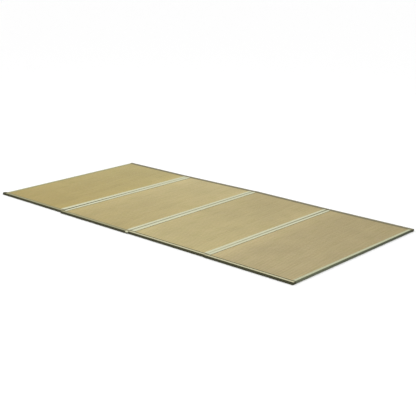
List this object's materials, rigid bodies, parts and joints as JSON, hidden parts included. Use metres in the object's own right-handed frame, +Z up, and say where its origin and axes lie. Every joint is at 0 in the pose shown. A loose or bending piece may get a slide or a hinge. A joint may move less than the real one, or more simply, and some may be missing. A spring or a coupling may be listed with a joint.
{
  "type": "folding tatami mat",
  "caption": "Folding rush mat lying open: bound woven rush panels in a row, joined edge to edge by cloth hinges.",
  "frame": {"origin": "middle of the mat's box in plan, on the surface that it lies on", "axes": "+X along the mat's long side, +Y across it towards the long edge whose binding is dark on top, +Z up"},
  "size_m": [2.0016, 0.9946, 0.0165],
  "materials": {
    "woven_rush": "dry woven rush, tan with a little olive",
    "sage_tape": "matt woven cotton tape, pale sage",
    "olive_tape": "matt woven cotton tape, dark olive"
  },
  "bodies": {
    "root": {"rush_panel_1": "woven_rush", "rush_panel_2": "woven_rush", "rush_panel_3": "woven_rush", "rush_panel_4": "woven_rush", "near_binding_1": "olive_tape", "near_binding_2": "olive_tape", "near_binding_3": "olive_tape", "near_binding_4": "olive_tape", "far_binding_1": "olive_tape", "far_binding_2": "olive_tape", "far_binding_3": "olive_tape", "far_binding_4": "olive_tape", "start_binding_1": "sage_tape", "start_binding_2": "sage_tape", "start_binding_3": "sage_tape", "start_binding_4": "sage_tape", "end_binding_1": "sage_tape", "end_binding_2": "sage_tape", "end_binding_3": "sage_tape", "end_binding_4": "sage_tape", "fold_hinge_1": "sage_tape", "fold_hinge_2": "sage_tape", "fold_hinge_3": "sage_tape"}
  },
  "joints": []
}
